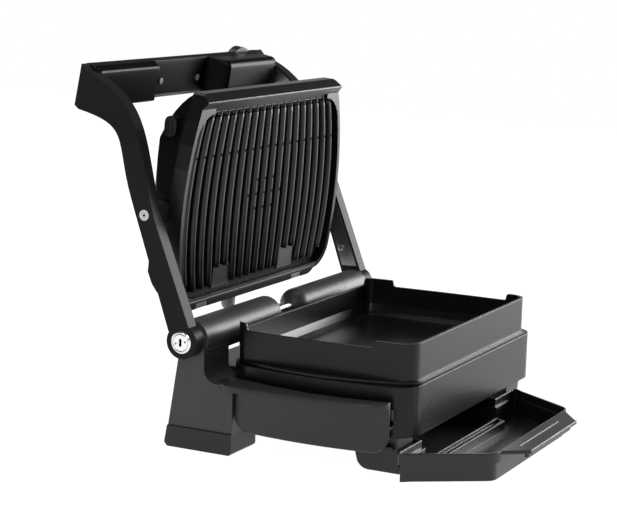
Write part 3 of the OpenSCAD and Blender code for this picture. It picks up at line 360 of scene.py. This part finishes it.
def side_handle(name, side, node):
    """A loop in x and z carried along y, and drawn to a pole at both ends.

    The lip's edge is a superellipse in plan, of power 3 in front and 8 behind;
    the skirt is a parabola, and its lower corners are quarter circles. The loop
    runs over the lip, down the skirt, and up inside it past the floor.
    """
    front, rear, tail, tail_run = -111.0, 37.0, 50.0, 12.9
    lip_x, lip_width, lip_under, tail_under = 162, 20.3, 62.4, 61.6
    skirt_x, skirt_bow, skirt_middle, skirt_half = 161.5, 8.5, -34, 77
    skirt_low, corner_r, wall = 24, 14, 3
    floor_x, floor_low, floor_top = 151, 44, 47
    lean_most, lean_start, lean_run = 7, -54, 80
    middle = (front + rear) / 2
    y = np.concatenate(
        [
            middle - (rear - middle) * np.cos(np.linspace(0, np.pi, 61)),
            [rear + 0.05],
            tail - tail_run * np.cos(np.linspace(0, np.pi / 2, 10)),
        ]
    )
    y = np.clip(y, front, tail)[:, None]
    reach = (y - (front + tail) / 2) / ((tail - front) / 2)
    power = np.where(reach > 0, 8, 3)
    edge = lip_x + lip_width * np.sqrt(np.clip(1 - abs(reach) ** power, 0, 1))
    skirt = skirt_x + skirt_bow * (1 - ((y - skirt_middle) / skirt_half) ** 2)
    lean = lean_most * np.clip((y - lean_start) / lean_run, 0, 1)
    inner = np.minimum(skirt - 1.5 - lean, skirt - 2.9)
    away = np.clip(np.minimum(y - front, rear - y), 0, corner_r)
    raised = 1 - np.sqrt(1 - ((corner_r - away) / corner_r) ** 2)
    low = skirt_low + corner_r * raised
    loop = [
        (inner + 0.6, 69.0),
        (edge - 0.9, 68.2),
        (edge - 0.25, 67.95),
        (edge, 67.3),
        (edge, 63.0),
        (edge - 0.6, lip_under),
        (skirt + 1.4, lip_under),
        (skirt + 0.4, 62.0),
        (skirt, 61.0),
        (skirt, low + 0.9),
        (skirt - 0.9, low),
        (skirt - 2.1, low),
        (skirt - wall, low + 0.9),
        (skirt - wall, floor_low),
        (floor_x, floor_low),
        (floor_x, floor_top),
        (skirt - wall, floor_top),
        (skirt - wall, 58),
        (inner, 63.5),
        (inner, 68.4),
    ]
    x, z = (
        np.concatenate([np.broadcast_to(value, y.shape) for value in row], axis=1)
        for row in zip(*loop)
    )
    behind = y > rear
    x = np.where(behind, np.maximum(x, inner), x)
    z = np.where(behind, np.maximum(z, tail_under), z)
    x = np.minimum(x, np.maximum(edge, skirt - wall))
    loops = np.stack([side * x, np.broadcast_to(y, x.shape), z], axis=-1) / 1000
    first, last = (
        loops[k].mean(axis=0, keepdims=True).repeat(len(loop), axis=0)[None]
        for k in (0, -1)
    )
    piece = skin(
        name,
        np.concatenate([first, loops, last])[None],
        [lit_grip_abs],
        "base",
        ring=True,
        closed=True,
    )
    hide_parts(node)


side_handle("left_lifting_lip", -1, "left_side_handle")
side_handle("right_lifting_lip", 1, "right_side_handle")

# The drip tray is a thin injection-moulded ABS tray in the same grained black. It
# lies loose on the worktop, and its rounded edges carry a pale line of light.
tray_abs = moulded(
    "grained_tray_abs", "#151517", 0.34, edge_mm=1.8, gloss=0.5, **tool_grain
)
dress(tray_abs, "drip_tray")


# The baking tray is pressure-cast aluminium under a sprayed non-stick coat, and
# lies loose in the base. The coat is black and faintly speckled, smoother than the
# plastic, and the walls show soft reflections.
def coated(name, code, rough, edge_mm, gloss=0.5):
    """Non-stick coat: pale specks in random cells, and orange peel as relief.

    Real specks are about 0.3 mm wide; they are drawn 1.4 mm wide, so that they
    show as a faint unevenness.
    """
    speck_mm, peel_mm = 1.4, 1.6
    made, tree = blank(name)
    place = add(tree, "ShaderNodeTexCoord")
    specks = add(
        tree,
        "ShaderNodeTexVoronoi",
        {"Vector": place.outputs["Object"], "Scale": 1000 / speck_mm},
    )
    peel = add(
        tree,
        "ShaderNodeTexNoise",
        {"Vector": place.outputs["Object"], "Scale": 1000 / peel_mm, "Detail": 2.0},
    )
    base = np.array(linear(code))[:3]
    tint = add(tree, "ShaderNodeValToRGB", {"Fac": specks.outputs["Distance"]})
    for stop, start, shade in zip(tint.color_ramp.elements, (0.05, 0.16), (1.3, 1)):
        stop.position = start
        stop.color = (*(base * shade), 1)
    surface(
        tree,
        peel.outputs["Fac"],
        wear=(rough - 0.012, rough + 0.012),
        edge_mm=edge_mm,
        strength=0.12,
        depth_mm=0.01,
        body={
            "Base Color": tint.outputs["Color"],
            "IOR": 1.45,
            "Specular IOR Level": gloss,
        },
    )
    return made


tray_coat = coated("nonstick_on_cast_tray", "#0a0a0b", 0.3, edge_mm=1.0, gloss=0.36)
dress(tray_coat, "baking_tray")


# The hinge is a bright steel shaft in stove-painted die-cast barrels, with pressed
# chrome caps on its ends. A cap has a ring groove, two spanner holes and a slot.
def brushed(name, code, rough, stretch):
    """Brushed metal: noise drawn out along one axis gives the brush lines.

    Real lines are about 0.05 mm apart; they are drawn 0.4 mm apart, so that they
    show. A stretch of 1 all round is a metal with no lines, only a fine mottle.
    """
    line_mm = 0.4
    made, tree = blank(name)
    place = add(tree, "ShaderNodeTexCoord")
    drawn = add(
        tree, "ShaderNodeMapping", {"Vector": place.outputs["Object"], "Scale": stretch}
    )
    lines = add(
        tree,
        "ShaderNodeTexNoise",
        {"Vector": drawn.outputs["Vector"], "Scale": 1000 / line_mm, "Detail": 3.0},
    )
    surface(
        tree,
        lines.outputs["Fac"],
        wear=(rough - 0.06, rough + 0.08),
        edge_mm=0.3,
        strength=0.35,
        depth_mm=0.01,
        body={"Base Color": linear(code), "Metallic": 1.0},
    )
    return made


# Paint is smoother than the mouldings and gives the barrels a long clear light.
barrel_paint = moulded(
    "stoved_barrel_paint", "#38383a", 0.44, 0.5, 0.006, edge_mm=0.8, gloss=0.4
)
dress(barrel_paint, "left_hinge_barrel", "right_hinge_barrel", "right_barrel_sleeve")
# The shaft is polished along its length after turning, so fine lines run along it.
turned_steel = brushed("turned_bright_steel", "#b9bbbd", 0.25, (0.05, 1, 1))
dress(turned_steel, "hinge_shaft")
# Chrome is the brightest metal here, with the white walls in it.
chrome = brushed("polished_chrome", "#f0f1f2", 0.2, (1, 1, 1))
dress(chrome, "hinge_caps")
# The bottom of a small recess gets hardly any light and shows as black.
recess_black = moulded("shadowed_socket", "#020202", 0.8, 1.0, gloss=0.05)


def face_disc(name, places, out, radius, height, metal):
    """Discs in polar grids, raised along out by height(a, b) in millimetres.

    a and b are the distances from the disc's centre along two directions square
    to out. Quads whose mean height is under shade_below are a recess, painted
    black as its shade.
    """
    shade_below = 0.2
    out = np.array(out, float) / np.linalg.norm(out)
    b_way = np.array([0, 0, 1.0]) - out * out[2]
    b_way /= np.linalg.norm(b_way)
    a_way = np.cross(b_way, out)
    r = np.linspace(0, radius, 33)[:, None]
    angle = np.linspace(2 * np.pi, 0, 72, endpoint=False)
    a, b = r * np.cos(angle), r * np.sin(angle)
    lift = height(a, b)
    lift[-1] = 0
    grid = a[..., None] * a_way + b[..., None] * b_way + lift[..., None] * out
    mean = (lift[:-1] + lift[1:]) / 2
    mean = np.concatenate([mean, mean[:, :1]], axis=1)
    shaded_quads = (mean[:, :-1] + mean[:, 1:]) / 2 < shade_below
    shaded_quads[-1] = False
    points = np.array(places, float)[:, None, None, :] + grid
    return skin(
        name,
        points / 1000,
        [metal, recess_black],
        "lid",
        ring=True,
        recess=np.tile(shaded_quads, (len(places), 1, 1)),
    )


def cap_face(a, b):
    """Flat face, less a ring groove, two spanner holes and an oblong slot."""
    groove_r, groove_width = 7.6, 0.3
    hole_out, hole_r = 4.9, 0.9
    slot_half, slot_r = 2.2, 1.3
    face, depth = 0.45, 0.4
    a_turned, b_turned = a * 0.97 + b * 0.23, b * 0.97 - a * 0.23
    groove = np.exp(-(((np.hypot(a, b) - groove_r) / groove_width) ** 2))
    holes = (np.hypot(abs(a_turned) - hole_out, b_turned) < hole_r) * 1.0
    slot = (np.hypot(np.maximum(abs(b) - slot_half, 0), a) < slot_r) * 1.0
    return face - depth * np.clip(groove + holes + slot, 0, 1)


hinge_axis = (81.8, 100.7)
cap_end = 181.8
for side, word in ((-1, "left"), (1, "right")):
    face_disc(
        word + "_cap_face",
        [(side * cap_end, *hinge_axis)],
        out=(side, 0, 0),
        radius=8.9,
        height=cap_face,
        metal=chrome,
    )

# The arms are hollow castings, stove-painted satin black, with bright anodised
# covers on their inner faces. Cross-head screws hold the covers, and a steel pin
# in a rubber bush at each arm carries the floating head.

# The arms' paint is darker and smoother than the barrels', so they stay black and
# carry long clear highlights.
arm_paint = moulded(
    "stoved_satin_black_paint", "#242426", 0.36, 0.5, 0.006, edge_mm=1.0, gloss=0.06
)
dress(arm_paint, "left_arm", "right_arm")
# The covers are brushed along the arm: silver grey, with a soft upright streak.
satin_aluminium = brushed("satin_anodised_aluminium", "#7c7e80", 0.3, (1, 1, 0.06))
dress(satin_aluminium, "left_arm_cover", "right_arm_cover")
# Zinc plate is silver, and a little duller than chrome.
screw_steel = brushed("zinc_plated_steel", "#b4b6b8", 0.3, (1, 1, 1))
dress(screw_steel, "base_screws", "arm_screws", "handle_screws")
dress(turned_steel, "pivot_pins")
dress(soft_rubber, "pivot_bushes")


def cross_face(a, b):
    """Low dome, 0.5 mm less 0.02 r^2, with a cross recess of two slots."""
    slot_half, slot_out = 0.42, 1.7
    narrow = np.minimum(abs(a), abs(b)) < slot_half
    short = np.maximum(abs(a), abs(b)) < slot_out
    return np.where(narrow & short, 0.05, 0.5 - 0.02 * np.hypot(a, b) ** 2)


def pin_face(a, b):
    """Turned pin end: a flat with a shallow centre hole."""
    return np.where(np.hypot(a, b) < 1.1, 0.1, 0.45)


head_pivot = (121.9, 209.5)
pin_end = 179.6
cover_screws = ((164.9, 97.3, 136.7), (153.6, 157.8, 303.7))
for side, word in ((-1, "left"), (1, "right")):
    face_disc(
        word + "_arm_screw_faces",
        [(side * right, back, up) for right, back, up in cover_screws],
        out=(-side, 0, 0),
        radius=3.3,
        height=cross_face,
        metal=screw_steel,
    )
    face_disc(
        word + "_pivot_pin_face",
        [(side * pin_end, *head_pivot)],
        out=(side, 0, 0),
        radius=5.0,
        height=pin_face,
        metal=turned_steel,
    )

# The handle's shell is moulded in the same black ABS, and so is the drum round the
# indicator. Its well-rounded edges catch a long pale line.
handle_abs = moulded(
    "handle_black_abs", "#141415", 0.34, edge_mm=2.4, gloss=0.4, **tool_grain
)
dress(handle_abs, "handle_shell", "indicator_drum")

# The handle's underside is one moulding that closes the shell from the front. It
# steps back for the fingers and swells forward in a soft curve into the box behind
# the indicator. It is duller than the shell, and its base is darker: painted shade
# for the underside above the plate.
shaded_under_abs = moulded(
    "handle_underside_abs", "#050505", 0.33, edge_mm=0.8, gloss=0.09, **tool_grain
)
dress(shaded_under_abs, "handle_underside")
handle_place = (197.6, 337.1)
handle_lean = math.radians(9.3)


def underside_section(deck_y, deck_z, edge_z, front, top_r, bottom, low_r, end_y):
    """Points down one section: deck, top arc, front face, lower arc, return.

    Both arcs are quarter circles; the rest is straight, in (y, z) of the handle.
    """
    arc = np.linspace(0, np.pi / 2, 9)
    runs = [
        np.linspace((deck_y, deck_z), (front + top_r, edge_z), 6)[:-1].T,
        (front + top_r * (1 - np.sin(arc)), edge_z - top_r * (1 - np.cos(arc))),
        (np.full(6, front), np.linspace(edge_z - top_r, bottom + low_r, 8)[1:-1]),
        (front + low_r * (1 - np.cos(arc)), bottom + low_r * (1 - np.sin(arc))),
        (np.linspace(front + low_r, end_y, 4)[1:], np.full(3, bottom)),
    ]
    return np.concatenate(runs, axis=1).T


def eased(x, start, end):
    """Smooth step: 0 before start, 1 after end, 3u^2 - 2u^3 between."""
    u = np.clip((x - start) / (end - start), 0, 1)
    return (u * u * (3 - 2 * u))[:, None, None]


left_face = underside_section(
    deck_y=-4.6,
    deck_z=-1.75,
    edge_z=-3.6,
    front=-11.3,
    top_r=4.0,
    bottom=-39.1,
    low_r=2.0,
    end_y=0.8,
)
finger_face = underside_section(
    deck_y=-3.4,
    deck_z=-1.3,
    edge_z=-1.5,
    front=-4.2,
    top_r=0.6,
    bottom=-35.1,
    low_r=1.0,
    end_y=-2.6,
)
box_face = underside_section(
    deck_y=-4.6,
    deck_z=-1.75,
    edge_z=-2.3,
    front=-27.0,
    top_r=6.5,
    bottom=-33.6,
    low_r=4.5,
    end_y=-8.4,
)
under_end = 152.3
recess_step = (-51.6, -49.2)
box_swell = (48, 59.5)
stations = np.concatenate(
    [
        np.linspace(-under_end, -53, 24),
        np.linspace(-52, -48.6, 14),
        np.linspace(-47, 46, 24),
        np.linspace(47, 60, 30),
        np.linspace(61, under_end, 24),
    ]
)
to_left = 1 - eased(stations, *recess_step)
to_box = eased(stations, *box_swell)
to_fingers = 1 - to_left - to_box
blended = left_face * to_left + finger_face * to_fingers + box_face * to_box
forward, above = blended[..., 0], blended[..., 1]
cos_lean, sin_lean = math.cos(handle_lean), math.sin(handle_lean)
under_points = np.stack(
    [
        np.broadcast_to(stations[:, None], forward.shape),
        handle_place[0] + forward * cos_lean - above * sin_lean,
        handle_place[1] + forward * sin_lean + above * cos_lean,
    ],
    axis=-1,
)
underside = skin(
    "underside_moulding",
    under_points[None] / 1000,
    [shaded_under_abs],
    "lid",
)
wall = underside.modifiers.new("wall", "SOLIDIFY")
wall.thickness = 0.0014
wall.offset = -1
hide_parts("handle_underside")

face_disc(
    "handle_screw_faces",
    [(side * 34, 196.8, 314.9) for side in (-1, 1)],
    out=(0, -cos_lean, -sin_lean),
    radius=2.7,
    height=cross_face,
    metal=screw_steel,
)

# The control face is a panel of gloss acrylic, here bare: a black mirror with soft
# pale reflections. The keys are moulded ABS with a fine matt grain.
gloss_panel = moulded("gloss_black_pmma", "#0c0c0d", 0.12, 4.0, depth_mm=0.002)
dress(gloss_panel, "control_panel")
key_abs = moulded("grey_key_abs", "#4a4c50", 0.4, 0.8)
dress(key_abs, "programme_keypad", "ok_button", "lower_release_button")
red_key = moulded("red_key_abs", "#b0382a", 0.3, 0.8)
dress(red_key, "power_button")
# The indicator's ring is frosted, pale and even.
frosted_ring = moulded("frosted_light_ring", "#c9d2d8", 0.35, 0.8)
dress(frosted_ring, "indicator_ring")
# Behind them is a glass-fibre board, dark green under its solder mask.
green_board = moulded("solder_masked_board", "#12301f", 0.35, 2.0)
dress(green_board, "circuit_board")

# Inside the base and the floating head are pressed reflectors and thermostats of
# bright aluminised sheet, and steel tube heaters that heat has turned brown grey.
bright_sheet = brushed("bright_aluminised_steel", "#bfc1c2", 0.3, (0.06, 1, 1))
dress(bright_sheet, "lower_reflector", "upper_reflector")
dress(bright_sheet, "lower_thermostat", "upper_thermostat")
heater_steel = brushed("heat_blued_steel", "#6c655f", 0.4, (1, 1, 1))
dress(heater_steel, "lower_heater", "upper_heater")
# Steatite is a cream white ceramic, and the cable's sleeve is soft grey silicone.
steatite = moulded("white_steatite", "#e4e0d4", 0.35, 0.8)
dress(steatite, "terminal_block")
grey_silicone = moulded("grey_silicone_sleeve", "#9a9c9e", 0.6, 1.2)
dress(grey_silicone, "cable_sleeve")

# The floating head's back is a matt black ABS moulding. Its release button has the
# base's grain, and zinc-plated spring clips hold the plate.
dress(deep_abs, "upper_housing")
dress(black_abs, "upper_release_button")
dress(screw_steel, "plate_clips")

# The grill plate is cast like the baking tray and has the same coat. Its nineteen
# ridges are half round and bow outwards like its sides. Each ends in a quarter
# round, free of the lip, and short of the pads that the locking tongues grip.
plate_coat = coated("nonstick_on_cast_plate", "#0c0c0e", 0.31, edge_mm=0.4)
dress(plate_coat, "upper_plate")
plate_lean = math.radians(4.87)
pivot_back = 21.1
bow_r = 250
bow_middle = -5.4
outer_ridge = 9
ridge_pitch = 15.5
ridge_r = 3.75
ridge_root = 3.9
ridge_cap = 3.6
ridge_proud = 0.12
end_width = 0.4
valley = 5.15
ridge_top = 86.8
ridge_foot, outer_foot, pad_foot = -75.0, -67.0, -58.6


def from_plate(across, depth, up):
    """Plate's frame to the grill's: lean about the pivot, millimetres to metres."""
    across, depth, up = np.broadcast_arrays(across, depth, up)
    back = depth - pivot_back
    y = head_pivot[0] + back * math.cos(plate_lean) - up * math.sin(plate_lean)
    z = head_pivot[1] + back * math.sin(plate_lean) + up * math.cos(plate_lean)
    return np.stack([across, y, z], axis=-1) / 1000


def ridge_line(number, up):
    """Middle of a ridge: its pitch less its share of the plate's circular bow."""
    sag = (up - bow_middle) ** 2 / (2 * outer_ridge * bow_r)
    return number * (ridge_pitch - sag)


number = np.arange(-outer_ridge, outer_ridge + 1)
foot = np.select(
    [np.isin(abs(number), (4, 5)), abs(number) == outer_ridge],
    [pad_foot, outer_foot],
    ridge_foot,
)
run = (ridge_top - foot)[:, None]
quarter = ridge_cap * (1 - np.cos(np.linspace(0, np.pi / 2, 7)))
share = np.linspace(0, 1, 32)[1:-1]
along = np.concatenate(
    [
        np.tile(quarter, (len(number), 1)),
        ridge_cap + (run - 2 * ridge_cap) * share,
        run - quarter[::-1],
    ],
    axis=1,
)
near_end = np.minimum(np.minimum(along, run - along), ridge_cap)
swell = np.sqrt(np.clip(1 - ((ridge_cap - near_end) / ridge_cap) ** 2, 0, 1))
swell = swell[..., None]
turn = np.linspace(0, np.pi, 15)
half_round = np.concatenate([[-ridge_root], -ridge_r * np.cos(turn), [ridge_root]])
crown = ridge_r * (1 - np.sin(turn)) - ridge_proud
crown = np.concatenate([[valley], crown, [valley]])
ridge_up = foot[:, None] + along
width = end_width + (1 - end_width) * swell
skin(
    "plate_ridges",
    from_plate(
        ridge_line(number[:, None], ridge_up)[..., None] + half_round * width,
        valley - (valley - crown) * swell,
        ridge_up[..., None],
    ),
    [plate_coat],
    "grill_plate",
)

# The pan between the ridges is drawn black and dull: painted shade for its deep narrow
# valleys. A film hardly off the cast floor carries it, from side wall to side wall.
painted_pan_shade = coated("pan_shade_coat", "#030303", 0.55, edge_mm=0.2, gloss=0.06)
pan_half = 150.4
pan_foot, pan_top = -81.4, 88.3
film_depth = 4.94
film_up = np.linspace(pan_foot, pan_top, 40)[:, None]
film_half = pan_half - (film_up - bow_middle) ** 2 / (2 * bow_r)
skin(
    "pan_shade_film",
    from_plate(np.linspace(-1, 1, 41) * film_half, film_depth, film_up)[None],
    [painted_pan_shade],
    "grill_plate",
)

# Small blind sockets are drilled into the crowns: one in every ridge in a row near the
# lip, and a diamond in the middle. Each is drawn as a black disc just proud of its
# crown: painted shade in place of the hole.
socket_rows = ((49.2, outer_ridge), (18.6, 1), (4.8, 2), (-9.05, 1))
spots = [(n, up) for up, out in socket_rows for n in range(-out, out + 1)]
spot_number, spot_up = np.array(spots, float).T[:, :, None, None]
socket_proud = 0.2
socket_r = np.array([0, 0.5, 0.9, 1.1, 1.3])[:, None]
clock = np.linspace(2 * np.pi, 0, 16, endpoint=False)
off_line = socket_r * np.cos(clock)
skin(
    "ridge_socket_shades",
    from_plate(
        ridge_line(spot_number, spot_up) + off_line,
        ridge_r - np.sqrt(ridge_r**2 - off_line**2) - socket_proud,
        spot_up + socket_r * np.sin(clock),
    ),
    [recess_black],
    "grill_plate",
    ring=True,
)
